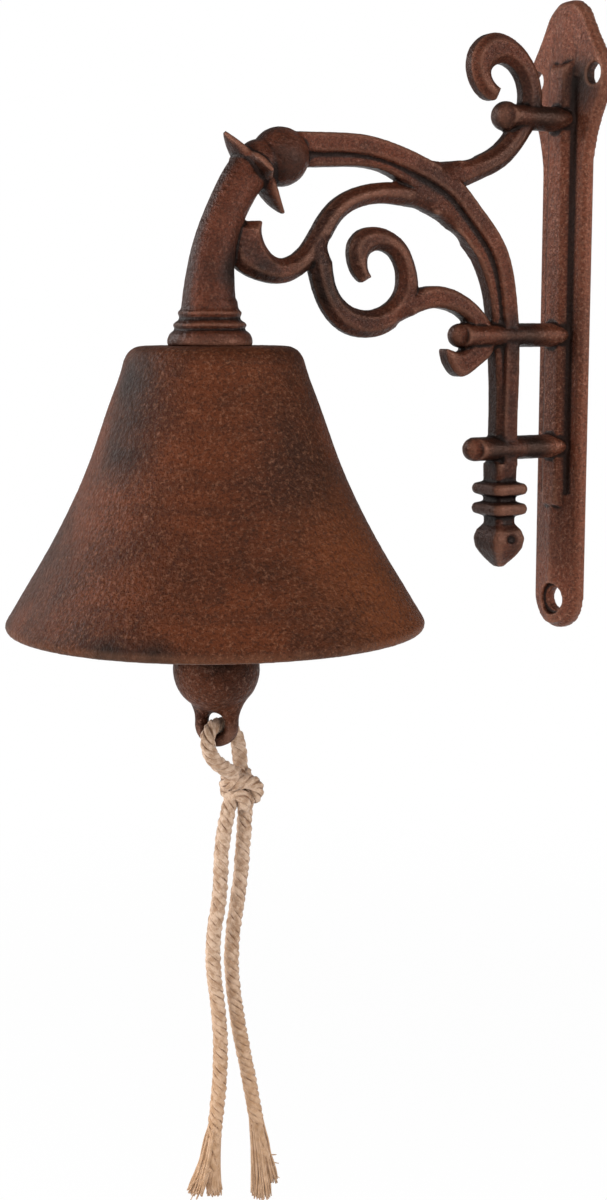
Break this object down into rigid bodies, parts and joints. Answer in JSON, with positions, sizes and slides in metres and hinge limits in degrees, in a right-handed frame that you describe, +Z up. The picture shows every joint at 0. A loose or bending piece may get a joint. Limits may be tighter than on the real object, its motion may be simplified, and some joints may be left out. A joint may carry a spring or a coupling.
{
  "type": "wall bell",
  "caption": "Cast-iron doorbell: flared bell under a scrollwork wall bracket with a leaf-shaped plate head, swinging clapper and a knotted cotton pull rope.",
  "frame": {"origin": "middle of the back face of the wall plate", "axes": "+X points into the wall, the arm reaches out along -X in the plane Y = 0, and +Z is up"},
  "size_m": [0.1877, 0.1194, 0.3483],
  "materials": {
    "bracket_iron": "rust-brown sand casting, slightly waxed",
    "bell_iron": "rust-brown sand casting with a coarse grain",
    "clapper_iron": "rust-brown sand casting",
    "hanger_steel": "browned steel",
    "cotton": "twisted natural cotton"
  },
  "bodies": {
    "bracket_body": {"bracket": "bracket_iron", "bell": "bell_iron", "eye_bolt": "hanger_steel", "crown_nut": "hanger_steel"},
    "link_body": {"hanger_link": "hanger_steel"},
    "clapper_body": {"clapper": "clapper_iron", "rope_knot": "cotton", "rope_loop": "cotton", "rope_tail_left": "cotton", "rope_tail_right": "cotton"}
  },
  "joints": [
    {"name": "ring_swing", "type": "hinge", "parent": "bracket_body", "child": "link_body", "pos_m": [-0.128, 0, -0.02425], "axis": [0, 1, 0], "range_deg": [-32, 32]},
    {"name": "clapper_sway", "type": "hinge", "parent": "link_body", "child": "clapper_body", "pos_m": [-0.128, 0, -0.02945], "axis": [1, 0, 0], "range_deg": [-10, 10]}
  ]
}
